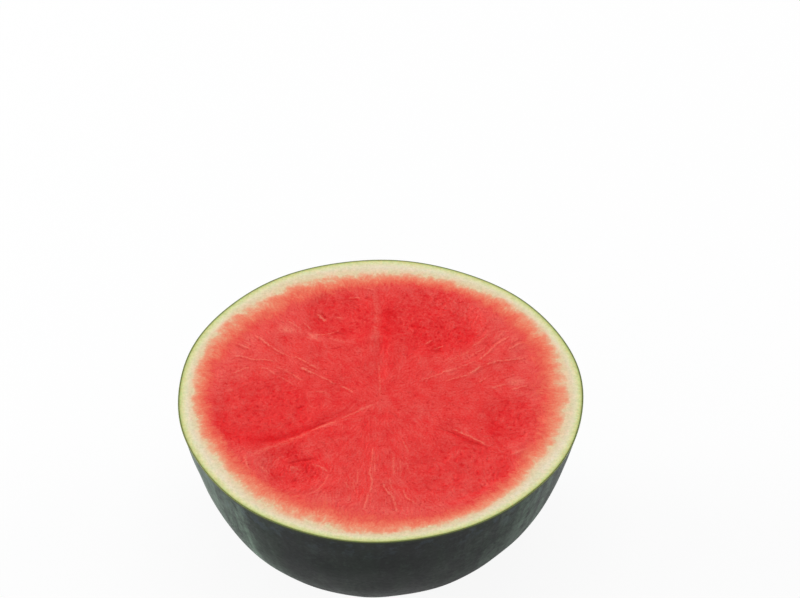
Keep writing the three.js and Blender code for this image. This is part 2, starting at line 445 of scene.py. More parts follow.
def flowHeading(place):
    # The flesh grows outwards from the middle, curls round some chambers and wavers. Headings have no sign.
    double = 2 * np.arctan2(place[:, 1], place[:, 0])
    cosine, sine = np.cos(double), np.sin(double)
    loose = np.zeros(len(place))
    for chamber in chambers:
        away = place - np.array(chamber["centre"])
        reach = ellipseReach(place, chamber["centre"], chamber["radii"])
        inChamber = np.exp(-(reach / carpels["chamberSwirlTo"]) ** 4)
        loose += (1 - chamber["swirl"]) * inChamber
        weight = chamber["swirl"] * inChamber
        double = 2 * np.arctan2(away[:, 1], away[:, 0]) + math.pi
        cosine += weight * (np.cos(double) - cosine)
        sine += weight * (np.sin(double) - sine)
    heading = np.arctan2(sine, cosine) / 2
    for turn, noise in flesh["wavering"]:
        heading += math.radians(turn) * waveNoise(place, *noise)
    turn, noise = flesh["crumbling"]
    heading += math.radians(turn) * loose * waveNoise(place, *noise)
    return np.column_stack([np.cos(heading), np.sin(heading)])


def alongWith(heading, guide):
    # Each heading or its opposite, whichever goes the same way as the guide.
    return heading * np.where((heading * guide).sum(1) < 0, -1, 1)[:, None]


def drawnOut(place, noise, reach):
    # Noise drawn out along the flow of the flesh: an average over points on both sides of each point.
    total = waveNoise(place, *noise)
    first = flowHeading(place)
    for way in (1, -1):
        walker, heading = place + first * way * flesh["flowStep"], first * way
        for _ in range(reach):
            total += waveNoise(walker, *noise)
            heading = alongWith(flowHeading(walker), heading)
            walker = walker + heading * flesh["flowStep"]
    return total / total.std()


def angleGap(angle, middle, period):
    return (angle - middle + period / 2) % period - period / 2


def faceFields(place):
    # Height of the cut face and everything that its material reads, from the place in millimetres.
    radius = np.hypot(place[:, 0], place[:, 1])
    angle = np.degrees(np.arctan2(place[:, 1], place[:, 0]))
    place = place - carpels["middle"]
    period = 360 / carpels["count"]

    height = np.zeros(len(place))
    for form in (carpels["wall"], carpels["bundle"]):
        aside = np.radians(np.abs(angleGap(angle, form["turn"], period))) * radius
        here = smoothStep(radius, *form["from"]) * (1 - smoothStep(radius, *form["to"]))
        height += form["height"] * np.exp(-(aside / form["halfWidth"]) ** 2) * here

    tone = np.full(len(place), flesh["tone"])
    fan = np.exp(-(angleGap(angle, carpels["bundle"]["turn"], period) / carpels["fanWidth"]) ** 2)
    fan *= smoothStep(radius, *carpels["fanFrom"])
    tone += flesh["fanPaleness"] * fan + flesh["edgePaleness"] * smoothStep(radius, *flesh["paleEdge"])
    soft, texture = np.zeros(len(place)), np.ones(len(place))
    for chamber in chambers:
        reach = ellipseReach(place, chamber["centre"], chamber["radii"])
        dish = 1 - smoothStep(reach, *carpels["chamberRim"])
        height -= chamber["sink"] * dish
        tone -= chamber["red"] * (1 - smoothStep(reach, chamber["fade"], carpels["chamberRedTo"]))
        soft = np.maximum(soft, dish)
        texture += (chamber["texture"] - 1) * dish
    for x, y, lengthwise, across, turn, amount in tonePatches:
        tone += amount * np.exp(-ellipseReach(place, (x, y), (lengthwise, across), turn) ** 2)
    tone += flesh["toneDrift"] * waveNoise(place, *flesh["drift"])
    crumb = smoothStep(waveNoise(place, *flesh["crumbs"]), *flesh["crumbFrom"]) * soft
    tone -= flesh["crumbRed"] * crumb
    height -= flesh["crumbDepth"] * crumb

    fibre = drawnOut(place, flesh["fibres"], flesh["fibreReach"])
    vein = smoothStep(drawnOut(place, flesh["veins"], flesh["veinReach"]), *flesh["veinFrom"])
    vein *= flesh["veinOutside"] + (1 - flesh["veinOutside"]) * np.clip(flesh["veinFan"] * fan, 0, 1)
    vein *= 1 - soft
    height += flesh["fibreHeight"] * fibre + flesh["veinHeight"] * vein
    height += waveNoise(place, *flesh["grain"]) * (flesh["grainHeight"] + flesh["grainInChamber"] * soft)
    height += flesh["swellHeight"] * waveNoise(place, *flesh["swells"])

    strandGap, strandStrength, strandWidth = drawLines(place, strands)
    shadedCreaseGap, shadedCreaseStrength, creaseWidth = drawLines(place, creases)
    height += flesh["strandHeight"] * strandStrength * np.exp(-(strandGap / flesh["strandHalfWidth"]) ** 2)
    height -= flesh["creaseDepth"] * shadedCreaseStrength * np.exp(-(shadedCreaseGap / creaseWidth) ** 2)

    def wavyRadius(middle, swing, turn):
        return middle + swing * np.cos(np.radians(carpels["count"] * (angle - turn)))

    redTo, paleFrom = wavyRadius(*rind["redTo"]), wavyRadius(*rind["paleFrom"])
    for turn, width, reach in rind["notches"]:
        notch = reach * np.exp(-(angleGap(angle, turn, period) / width) ** 2)
        redTo -= notch
        paleFrom -= notch
    fields = {
        "tone": tone,
        "vein": vein,
        "texture": texture,
        "rindShare": np.clip((radius - redTo) / (paleFrom - redTo), *rind["limits"]),
        "strandGap": strandGap / strandWidth,
        "strandStrength": strandStrength,
        "shadedCreaseGap": shadedCreaseGap / creaseWidth,
        "shadedCreaseStrength": shadedCreaseStrength,
    }
    height *= 1 - smoothStep(radius, *carpels["firmFrom"])
    return height, fields, alongWith(flowHeading(place), place)


def sectionRings():
    # The half's section from the stem end up to the rim, over the worn corner and in to the middle of the
    # face: radius, height, number of points, and distance along the section from the middle of the face.
    def spacingAt(length):
        return np.interp(length, meshing["rimBand"], [meshing["rimSpacing"], meshing["skinSpacing"]])

    corner, top, sectors = fruit["cornerRound"], fruit["height"], meshing["sectors"]
    depth = fruit["endDepth"] * np.sin(np.linspace(0, math.pi / 2, meshing["sectionSteps"]))
    radius = skinRadius(depth)
    length = np.concatenate([[0], np.hypot(np.diff(radius), np.diff(depth)).cumsum()])
    stop, rings = corner, []
    while stop < length[-1] - meshing["skinSpacing"] / 2:
        ringRadius = np.interp(stop, length, radius)
        count = sectors * max(1, round(2 * math.pi * ringRadius / (sectors * spacingAt(stop))))
        ringHeight = top - np.interp(stop, length, depth)
        rings.append((ringRadius, ringHeight, count, fruit["cutRadius"] + stop))
        stop += meshing["rowShare"] * spacingAt(stop)
    rings.append((0.0, top - fruit["endDepth"], 1, fruit["cutRadius"] + length[-1]))
    rings.reverse()

    for i in range(1, meshing["cornerRings"]):
        turn = math.pi / 2 * i / meshing["cornerRings"]
        radius = faceRadius + corner * math.cos(turn)
        rings.append((radius, top - corner + corner * math.sin(turn), sectors * meshing["faceRings"], radius))
    firstFace = len(rings)
    for k in range(meshing["faceRings"], 0, -1):
        radius = faceRadius * k / meshing["faceRings"]
        rings.append((radius, top, sectors * k, radius))
    rings.append((0.0, top, 1, 0.0))
    return rings, firstFace


def bridgeRings(startA, countA, startB, countB):
    # Triangles between two rings, each edge joined to the point of the other ring that lies across from it.
    if countA == 1:
        i = np.arange(countB)
        return np.column_stack([np.full(countB, startA), startB + i, startB + (i + 1) % countB])
    if countB == 1:
        i = np.arange(countA)
        return np.column_stack([startA + (i + 1) % countA, startA + i, np.full(countA, startB)])
    middleA = (np.arange(countA) + 0.5) / countA
    middleB = (np.arange(countB) + 0.5) / countB
    apexB = np.searchsorted(middleB, middleA, side="left") % countB
    apexA = np.searchsorted(middleA, middleB, side="right") % countA
    a, b = np.arange(countA), np.arange(countB)
    fromA = np.column_stack([startA + (a + 1) % countA, startA + a, startB + apexB])
    fromB = np.column_stack([startA + apexA, startB + b, startB + (b + 1) % countB])
    return np.vstack([fromA, fromB])


def layRings(rings, firstFace):
    # The points of all rings, one after the other, and the triangles between them.
    counts = np.array([count for _, _, count, _ in rings])
    starts = counts.cumsum() - counts
    ringOf = np.repeat(np.arange(len(rings)), counts)
    radius, height, _, along = np.array(rings)[ringOf].T
    inRing = np.arange(len(ringOf)) - starts[ringOf]
    angle = math.pi / meshing["sectors"] + 2 * math.pi * inRing / counts[ringOf]
    triangles, onFace = [], []
    for number in range(len(rings) - 1):
        made = bridgeRings(starts[number], counts[number], starts[number + 1], counts[number + 1])
        triangles.append(made)
        onFace.append(np.full(len(made), number >= firstFace))
    return radius, height, angle, along, ringOf, np.vstack(triangles), np.concatenate(onFace)


def bloomAndSheenField(angle, radius, depth):
    # How much bloom and painted sheen lies on each point of the skin.
    degrees = np.degrees(angle) % 360 - 270
    lead = 60  # room for the soft edge before a band
    bloomAndSheen = np.zeros(len(radius))
    for low, high, soft, amount in bloomAndPaintedSheen["bands"]:
        gap = (degrees - low + lead) % 360 - lead
        ending = smoothStep(gap, high - low - soft, high - low + soft)
        bloomAndSheen += amount * smoothStep(gap, -soft, soft) * (1 - ending)
    for middle, deep, size, amount in bloomAndPaintedSheen["patches"]:
        aside = np.radians(angleGap(degrees, middle, 360)) * radius
        bloomAndSheen += amount * np.exp(-np.hypot(aside, depth - deep) ** 2 / size**2)
    return bloomAndSheen * (1 - bloomAndPaintedSheen["lowLoss"] * smoothStep(depth, *bloomAndPaintedSheen["lowFade"]))


def buildHalf():
    rings, firstFace = sectionRings()
    radius, height, angle, along, ringOf, triangles, onFace = layRings(rings, firstFace)
    isFace = ringOf >= firstFace
    isSkin = ringOf < firstFace - meshing["cornerRings"] + 1

    # Skin: flat ring to stand on, stem dimple with its torn scar, faint lobes and gentle waves.
    low = isSkin & (radius < foot["blendRadius"])
    height[low] = (height[low] + np.sqrt(height[low] ** 2 + foot["flatBlend"] ** 2)) / 2
    dimple = foot["scarSink"] * (1 - smoothStep(radius, foot["scarRadius"], foot["dimpleRadius"]))
    crown = foot["scarCrown"] * np.clip(1 - (radius / foot["scarRadius"]) ** 2, 0, 1)
    height[low] += (dimple - crown)[low]
    stretch = np.ones(len(radius))
    for count, size, first in fruit["lobes"]:
        stretch += size / fruit["cutRadius"] * np.cos(count * (angle - math.radians(first)))

    # Cut face: its relief, and what its material reads.
    outwards = np.column_stack([np.cos(angle), np.sin(angle)])
    place = outwards * radius[:, None]
    face = place[isFace] - carpels["middle"]
    snapToLines(face, creases + strands, meshing["snapReach"] * faceRadius / meshing["faceRings"])
    place[isFace] = face + carpels["middle"]
    relief, fields, faceFlow = faceFields(place[isFace])
    height[isFace] += relief
    flow = np.zeros((len(radius), 3))
    flow[isFace, :2] = faceFlow

    points = np.column_stack([place * stretch[:, None], height])
    depth = fruit["height"] - height
    fade = smoothStep(radius, foot["dimpleRadius"], foot["blendRadius"]) * isSkin
    fade *= smoothStep(depth, *fruit["waveFrom"])
    wave = waveNoise(points, *fruit["waves"])
    points[:, :2] += outwards * (fruit["waveHeight"] * wave * fade)[:, None]
    tear = waveNoise(points * (1, 1, 0), *foot["tears"]) * isSkin
    tear *= 1 - smoothStep(radius, foot["scarRadius"] - foot["tearEdge"], foot["scarRadius"])
    points[:, 2] += foot["scarTear"] * tear
    points[:, 0] += fruit["endDrift"] * np.clip(depth / fruit["endDepth"], 0, 1) ** fruit["driftPower"]

    values = {
        "along": along,
        "skinDepth": np.maximum(faceRadius - radius, 0) * isFace,
        "bloomAndSheen": bloomAndSheenField(angle, radius, depth),
    }
    for name, field in fields.items():
        values[name] = np.zeros(len(radius))
        values[name][isFace] = field
    vectors = {"meridian": np.column_stack([outwards, np.zeros(len(radius))]), "flow": flow}
    return points, triangles, onFace, values, vectors


def makePiece():
    points, triangles, onFace, values, vectors = buildHalf()
    low, high = points.min(0), points.max(0)
    points -= ((low[0] + high[0]) / 2, (low[1] + high[1]) / 2, low[2])
    mesh = bpy.data.meshes.new("watermelonHalf")
    mesh.from_pydata((points * mm).tolist(), [], triangles.tolist())
    for name, field in values.items():
        layer = mesh.attributes.new(name, "FLOAT", "POINT")
        layer.data.foreach_set("value", field.astype(np.float32))
    for name, field in vectors.items():
        layer = mesh.attributes.new(name, "FLOAT_VECTOR", "POINT")
        layer.data.foreach_set("vector", field.astype(np.float32).ravel())
    mesh.polygons.foreach_set("use_smooth", np.ones(len(triangles), bool))
    mesh.polygons.foreach_set("material_index", onFace.astype(np.int32))
    mesh.update()
    piece = bpy.data.objects.new("watermelonHalf", mesh)
    bpy.context.scene.collection.objects.link(piece)
    print(f"half: {len(points)} points, {len(triangles)} triangles")
    return piece


def colour(red, green, blue):
    # Screen values 0 to 255 to the linear colour that a socket takes.
    def linear(value):
        value /= 255
        return value / 12.92 if value <= 0.04045 else ((value + 0.055) / 1.055) ** 2.4
    return (linear(red), linear(green), linear(blue), 1)


def addNode(tree, kind, settings=None, inputs=None):
    made = tree.nodes.new(kind)
    for name, value in (settings or {}).items():
        setattr(made, name, value)
    for name, value in (inputs or {}).items():
        if isinstance(value, bpy.types.NodeSocket):
            tree.links.new(value, made.inputs[name])
        else:
            made.inputs[name].default_value = value
    return made


def calculate(tree, operation, *values, clamp=False):
    settings = {"operation": operation, "use_clamp": clamp}
    return addNode(tree, "ShaderNodeMath", settings, dict(enumerate(values))).outputs[0]


def remap(tree, value, fromLow, fromHigh, toLow=0.0, toHigh=1.0, kind="SMOOTHSTEP"):
    ends = {"Value": value, "From Min": fromLow, "From Max": fromHigh, "To Min": toLow, "To Max": toHigh}
    return addNode(tree, "ShaderNodeMapRange", {"interpolation_type": kind}, ends).outputs["Result"]


def pushed(tree, value, noises, amounts):
    # The value with its amount of each named noise added, centred so that the mean stays.
    for name, amount in amounts.items():
        centred = calculate(tree, "SUBTRACT", noises[name], 0.5)
        value = calculate(tree, "MULTIPLY_ADD", centred, amount, value)
    return value


def mixColours(tree, share, first, second, blend="MIX"):
    # For colours the Mix node has its sockets at inputs 6 and 7 and at output 2.
    settings = {"data_type": "RGBA", "blend_type": blend}
    return addNode(tree, "ShaderNodeMix", settings, {0: share, 6: first, 7: second}).outputs[2]


def colourRamp(tree, value, stops):
    # Each stop is its place in the value's own unit and its colour.
    low, high = stops[0][0], stops[-1][0]
    made = addNode(tree, "ShaderNodeValToRGB", inputs={"Fac": remap(tree, value, low, high, kind="LINEAR")})
    elements = made.color_ramp.elements
    elements.remove(elements[1])
    for number, (place, *shade) in enumerate(stops):
        share = (place - low) / (high - low)
        stop = elements.new(share) if number else elements[0]
        stop.position = share
        stop.color = colour(*shade)
    return made.outputs["Color"]


def attribute(tree, name, output="Fac"):
    return addNode(tree, "ShaderNodeAttribute", {"attribute_name": name}).outputs[output]


def added(tree, first, second):
    return addNode(tree, "ShaderNodeVectorMath", {"operation": "ADD"}, {0: first, 1: second}).outputs[0]


def scaled(tree, vector, scale):
    settings = {"operation": "SCALE"}
    return addNode(tree, "ShaderNodeVectorMath", settings, {0: vector, "Scale": scale}).outputs[0]


def noiseAt(tree, place, detail, roughness, scale=1.0):
    ends = {"Vector": place, "Scale": scale, "Detail": detail, "Roughness": roughness}
    return addNode(tree, "ShaderNodeTexNoise", inputs=ends).outputs["Fac"]


def newGroup(name, inputs):
    # A node group with the given inputs that puts out one mask.
    group = bpy.data.node_groups.new(name, "ShaderNodeTree")
    for socketName, kind, value in inputs:
        socket = group.interface.new_socket(name=socketName, in_out="INPUT", socket_type=f"NodeSocket{kind}")
        if value is not None:
            socket.default_value = value
    group.interface.new_socket(name="Mask", in_out="OUTPUT", socket_type="NodeSocketFloat")
    given = group.nodes.new("NodeGroupInput").outputs
    mask = group.nodes.new("NodeGroupOutput").inputs["Mask"]
    return group, given, mask


noiseSpan = (0.28, 0.72)  # nearly all of a noise lies between these


def makeStreakGroup():
    # Streaks that run along the fruit's meridians on the skin, and from middle to rim on the cut.
    group, given, mask = newGroup("meridianStreaks", [
        ("Meridian", "Vector", None),
        ("Along", "Float", 0.0),
        ("Streak Width", "Float", 2.0),
        ("Streak Length", "Float", 20.0),
        ("Detail", "Float", 2.0),
        ("Seed", "Float", 0.0),
    ])
    across = calculate(group, "DIVIDE", fruit["cutRadius"], given["Streak Width"])
    along = calculate(group, "DIVIDE", given["Along"], given["Streak Length"])
    lift = addNode(group, "ShaderNodeCombineXYZ", inputs={"Z": calculate(group, "ADD", along, given["Seed"])})
    place = added(group, scaled(group, given["Meridian"], across), lift.outputs[0])
    noise = noiseAt(group, place, given["Detail"], roughness=0.55)
    group.links.new(remap(group, noise, *noiseSpan, kind="LINEAR"), mask)
    return group


def makeGrainGroup():
    # Soft grain of a given size in millimetres.
    group, given, mask = newGroup("fruitGrain", [
        ("Size", "Float", 1.0),
        ("Detail", "Float", 2.0),
        ("Roughness", "Float", 0.55),
    ])
    place = addNode(group, "ShaderNodeTexCoord").outputs["Object"]
    scale = calculate(group, "DIVIDE", 1 / mm, given["Size"])
    noise = noiseAt(group, place, given["Detail"], given["Roughness"], scale)
    group.links.new(remap(group, noise, *noiseSpan, kind="LINEAR"), mask)
    return group


def makeFibreGroup():
    # Fine noise drawn out along the flow of the flesh: the mean of samples on both sides of each place.
    group, given, mask = newGroup("fleshFibres", [
        ("Flow", "Vector", None),
        ("Width", "Float", 1.0),
        ("Draw", "Float", 0.7),
        ("Detail", "Float", 1.0),
        ("Spread", "Float", 0.14),
    ])
    samples = 7
    scale = calculate(group, "DIVIDE", 1 / mm, given["Width"])
    place = scaled(group, addNode(group, "ShaderNodeTexCoord").outputs["Object"], scale)
    total = None
    for number in range(samples):
        reach = calculate(group, "MULTIPLY", given["Draw"], number - (samples - 1) / 2)
        there = added(group, place, scaled(group, given["Flow"], reach))
        noise = noiseAt(group, there, given["Detail"], roughness=0.5)
        total = calculate(group, "ADD", total, noise) if number else noise
    mean = calculate(group, "DIVIDE", total, samples)
    low = calculate(group, "SUBTRACT", 0.5, given["Spread"])
    high = calculate(group, "ADD", 0.5, given["Spread"])
    group.links.new(remap(group, mean, low, high, kind="LINEAR"), mask)
    return group


def placeGroup(tree, group, *values):
    return addNode(tree, "ShaderNodeGroup", {"node_tree": group}, dict(enumerate(values))).outputs["Mask"]


def newMaterial(name, shaderInputs):
    material = bpy.data.materials.new(name)
    material.use_nodes = True
    tree = material.node_tree
    shader = tree.nodes["Principled BSDF"]
    for socket, value in shaderInputs.items():
        shader.inputs[socket].default_value = value
    return material, tree, shader


# In the looks below a grain is its size in millimetres, detail and roughness. Streaks are width and length in
# millimetres, detail and seed. A range of two numbers is where an effect sets in and where it is full. With
# four, the last two are what comes out at these places.
fleshLook = {
    "reds": [
        (-0.3, 212, 2, 8),
        (0.0, 224, 12, 18),
        (0.25, 229, 39, 40),
        (0.45, 231, 55, 52),
        (0.8, 234, 85, 77),
        (1.2, 240, 119, 100),
    ],
    "strand": colour(243, 136, 112),
    "vein": colour(238, 104, 86),
    # painted shade: the dark red in cracks and grooves, and on one side of each strand
    "shadedCrease": colour(200, 0, 4),
    "pit": colour(204, 6, 14),
    "grains": {"blotch": (7.0, 3.0), "coarse": (2.2, 3.0), "fine": (1.0, 2.0), "hole": (1.7, 1.0)},
    "thread": (1.1, 0.34),  # width, and how far it is drawn out
    "texture": {"coarse": 0.05, "fine": 0.34, "thread": 0.29},  # how much each noise changes the tone
    "pits": (0.74, 0.98, 0, 0.42),
    "veins": (0.2, 0.7, 0, 0.28),
    # name, place across the line, sharpness, strength, colour
    "lines": [
        ("shadedCrease", 0.0, 2.4, 0.8, "shadedCrease"),
        # a painted shadow along one side of each strand
        ("strand", 1.4, 2.0, 0.35, "shadedCrease"),
        ("strand", 0.0, 3.6, 0.7, "strand"),
    ],
    "lineWander": {"coarse": 0.9},
    "lineBreaks": (0.15, 0.6),
    "lineLeft": 0.3,  # share of its strength that a line keeps where it breaks
    "cellSize": 0.9,
    "cellSmoothness": 0.4,
    "lumps": {"fine": 0.4, "thread": 0.8},
    "firmness": (0.3, 1.0, 1.0, 0.25),  # the bump is weaker in the rind
    "bump": 0.42,
    "bumpHeight": 0.25,
    "roughness": (0.2, 0.9, 0.55, 0.67),  # follows the coarse grain
    "juice": (0.2, 1.1, 0.05, 0.03),  # a thin film, thinner still towards the rind
}
rindLook = {
    "reds": [
        (0.0, 234, 78, 67),
        (0.25, 236, 92, 74),
        (0.45, 238, 111, 86),
        (0.62, 240, 129, 99),
        (0.78, 240, 150, 117),
        (0.92, 240, 178, 143),
        (1.05, 239, 210, 174),
        (1.35, 240, 226, 198),
    ],
    # millimetres in from the skin
    "skins": [
        (0.0, 52, 64, 26),
        (0.25, 106, 117, 62),
        (0.6, 182, 188, 120),
        (1.1, 213, 215, 148),
        (2.0, 228, 226, 168),
        (3.2, 237, 229, 187),
        (5.0, 240, 227, 196),
    ],
    "shade": colour(212, 214, 196),
    "green": colour(232, 250, 222),
    "wide": (7.0, 9.0, 3.0),
    "ragged": {"wide": 0.15, "blotch": 0.33, "coarse": 0.1},  # how much they move the end of the red
    "threaded": {"thread": 0.22, "fine": 0.2},
    "threadRange": (1.1, 0.5, 0.25, 1),
    "raggedFrom": (-0.9, 0.3),
    "raggedTo": (1.45, 0.8),
    "skinWander": {"coarse": 0.8, "blotch": 1.8},
    "unevenRange": (0.4, 3.0),  # this and the next are millimetres in from the skin
    "skinRange": (6.0, 3.0),
    "fineMottling": (0.7, 0.2),
    "coarseMottling": (0.75, 0.25),
    "mottling": (0.6, 1.2, 0, 0.2),
    "greenPatches": (0.35, 0.75),
    "greening": (0.7, 1.2, 0, 0.3),
    "rindRange": (-0.15, 0.4),  # over this share the red flesh gives way to the rind
}
skinLook = {
    "dark": colour(8, 15, 13),
    "green": colour(15, 28, 19),
    # paler grey-green of the bloom, and of the sheen painted on the lit flanks
    "bloomAndSheen": colour(94, 115, 99),
    "blueBloom": colour(44, 54, 70),
    "cutEdge": colour(34, 42, 10),
    "wornCorner": colour(134, 144, 84),
    "streaks": {"broad": (13.0, 90.0, 4.0, 3.0), "narrow": (3.6, 30.0, 4.0, 9.0)},
    "grains": {"mottle": (6.0, 4.0, 0.65), "speckle": (1.5, 4.0), "pore": (2.4, 3.0)},
    "greenStreaks": (0.2, 0.8),
    "bloomEverywhere": -0.01,
    "uneven": {"narrow": 0.7, "mottle": 0.9, "speckle": 0.5},  # what breaks up the bloom
    "unevenness": 0.2,  # of the thin bloom between the bands
    "bandUnevenness": 1.2,
    "bluePatches": (0.5, 0.8, 0, 0.4),
    "blueRange": (22.0, 4.0),  # this and the next two are distances below the cut
    "edgeRange": (3.2, 0.8),
    "cornerRange": (0.15, -0.35),
    "bump": 0.18,
    "bumpHeight": 0.2,
    "poreRoughness": 0.12,
}
scarLook = {
    "bark": colour(96, 58, 36),
    "barkDark": colour(48, 28, 20),
    "ring": colour(150, 140, 96),
    "paleGreen": colour(86, 104, 66),
    "rays": (15.0, 18.0, 5.0, 5.0),
    "rayPatches": (0.35, 0.8),
    "rayRange": (34, 9),  # this and the next three are distances from the stem end
    "ringRange": (10.5, 7.5),
    "barkRange": (7.6, 6.4),
    "roughness": (9, 6.5, 0.3, 0.75),
    "barkPatches": (0.3, 0.75),
    "wander": {"speckle": 2.4},
}


def addBump(tree, shader, height, strength, distance):
    ends = {"Height": height, "Strength": strength, "Distance": distance * mm}
    bump = addNode(tree, "ShaderNodeBump", inputs=ends)
    tree.links.new(bump.outputs["Normal"], shader.inputs["Normal"])


def makeFleshMaterial(streaks, grain, fibres):
    material, tree, shader = newMaterial("cutFlesh", {
        "IOR": 1.34, "Specular IOR Level": 0.26, "Coat Roughness": 0.25, "Coat IOR": 1.33,
        "Subsurface Weight": 0.25, "Subsurface Radius": (1.0, 0.28, 0.2), "Subsurface Scale": 1.6 * mm,
    })
    shader.subsurface_method = "RANDOM_WALK"
    meridian, along = attribute(tree, "meridian", "Vector"), attribute(tree, "along")
    noises = {name: placeGroup(tree, grain, *size) for name, size in fleshLook["grains"].items()}
    noises["thread"] = placeGroup(tree, fibres, attribute(tree, "flow", "Vector"), *fleshLook["thread"])
    noises["wide"] = placeGroup(tree, streaks, meridian, along, *rindLook["wide"])
    blotch, coarse, fine = noises["blotch"], noises["coarse"], noises["fine"]

    # Red flesh: large fields from the mesh, then grain and threads, veins, pits, the strands with a painted
    # shadow along one side, and the creases darkened with painted shade.
    texture = pushed(tree, 0.0, noises, fleshLook["texture"])
    tone = calculate(tree, "MULTIPLY_ADD", texture, attribute(tree, "texture"), attribute(tree, "tone"))
    red = colourRamp(tree, tone, fleshLook["reds"])
    veins = calculate(tree, "MULTIPLY", attribute(tree, "vein"), remap(tree, fine, *fleshLook["veins"]))
    red = mixColours(tree, veins, red, fleshLook["vein"])
    red = mixColours(tree, remap(tree, noises["hole"], *fleshLook["pits"]), red, fleshLook["pit"])
    for name, offset, sharpness, strength, shade in fleshLook["lines"]:
        gap = calculate(tree, "ADD", attribute(tree, name + "Gap"), offset)
        gap = pushed(tree, gap, noises, fleshLook["lineWander"])
        steep = calculate(tree, "MULTIPLY", calculate(tree, "POWER", gap, 2), -sharpness)
        bell = calculate(tree, "EXPONENT", steep)
        broken = remap(tree, fine, *fleshLook["lineBreaks"], fleshLook["lineLeft"] * strength, strength)
        shown = calculate(tree, "MULTIPLY", bell, attribute(tree, name + "Strength"))
        shown = calculate(tree, "MULTIPLY", shown, broken, clamp=True)
        red = mixColours(tree, shown, red, fleshLook[shade])

    # Where the red ends its edge is ragged. Rind: salmon to cream, lime near the skin, then the dark line.
    share = attribute(tree, "rindShare")
    window = calculate(tree, "MULTIPLY", remap(tree, share, *rindLook["raggedFrom"]),
                       remap(tree, share, *rindLook["raggedTo"]))
    ragged = pushed(tree, 0.0, noises, rindLook["ragged"])
    threaded = pushed(tree, 0.0, noises, rindLook["threaded"])
    ragged = calculate(tree, "MULTIPLY_ADD", threaded, remap(tree, share, *rindLook["threadRange"]), ragged)
    share = calculate(tree, "MULTIPLY_ADD", ragged, window, share)
    depth = attribute(tree, "skinDepth")
    uneven = pushed(tree, 0.0, noises, rindLook["skinWander"])
    depth = calculate(tree, "MULTIPLY_ADD", uneven, remap(tree, depth, *rindLook["unevenRange"]), depth)
    inner, outer = colourRamp(tree, share, rindLook["reds"]), colourRamp(tree, depth, rindLook["skins"])
    rindColour = mixColours(tree, remap(tree, depth, *rindLook["skinRange"]), inner, outer)
    mottled = calculate(tree, "ADD", remap(tree, fine, *rindLook["fineMottling"]),
                        remap(tree, coarse, *rindLook["coarseMottling"]))
    dull = calculate(tree, "MULTIPLY", mottled, remap(tree, share, *rindLook["mottling"]))
    rindColour = mixColours(tree, dull, rindColour, rindLook["shade"], "MULTIPLY")
    greener = calculate(tree, "MULTIPLY", remap(tree, blotch, *rindLook["greenPatches"]),
                        remap(tree, share, *rindLook["greening"]))
    rindColour = mixColours(tree, greener, rindColour, rindLook["green"], "MULTIPLY")
    tint = mixColours(tree, remap(tree, share, *rindLook["rindRange"]), red, rindColour)
    tree.links.new(tint, shader.inputs["Base Color"])

    # Wet cells: a fine bump under a thin film of juice.
    cells = addNode(tree, "ShaderNodeTexVoronoi", {"feature": "SMOOTH_F1"}, {
        "Vector": addNode(tree, "ShaderNodeTexCoord").outputs["Object"],
        "Scale": 1 / (fleshLook["cellSize"] * mm), "Smoothness": fleshLook["cellSmoothness"]})
    lumps = cells.outputs["Distance"]
    for name, amount in fleshLook["lumps"].items():
        lumps = calculate(tree, "MULTIPLY_ADD", noises[name], amount, lumps)
    lumps = calculate(tree, "MULTIPLY", lumps, remap(tree, share, *fleshLook["firmness"]))
    addBump(tree, shader, lumps, fleshLook["bump"], fleshLook["bumpHeight"])
    tree.links.new(remap(tree, coarse, *fleshLook["roughness"]), shader.inputs["Roughness"])
    tree.links.new(remap(tree, share, *fleshLook["juice"]), shader.inputs["Coat Weight"])
    return material


